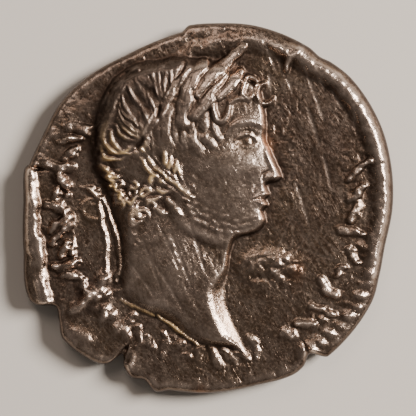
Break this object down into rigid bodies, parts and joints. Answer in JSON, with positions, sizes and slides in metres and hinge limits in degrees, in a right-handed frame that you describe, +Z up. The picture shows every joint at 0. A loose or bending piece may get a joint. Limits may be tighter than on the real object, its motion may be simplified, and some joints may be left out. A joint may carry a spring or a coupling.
{
  "type": "denarius coin",
  "caption": "Worn struck silver coin with a wreathed head in profile, a standing figure on the back and an uneven split edge.",
  "frame": {"origin": "on the ground under the middle of the flan's outline", "axes": "+Z up through the portrait face, +Y towards the top of the head, +X the way the head looks"},
  "size_m": [0.0184, 0.0184, 0.0025],
  "materials": {
    "toned_silver": "struck silver toned dark brown, rubbed bright on the high points and hairlined"
  },
  "bodies": {
    "root": {"coin": "toned_silver"}
  },
  "joints": []
}
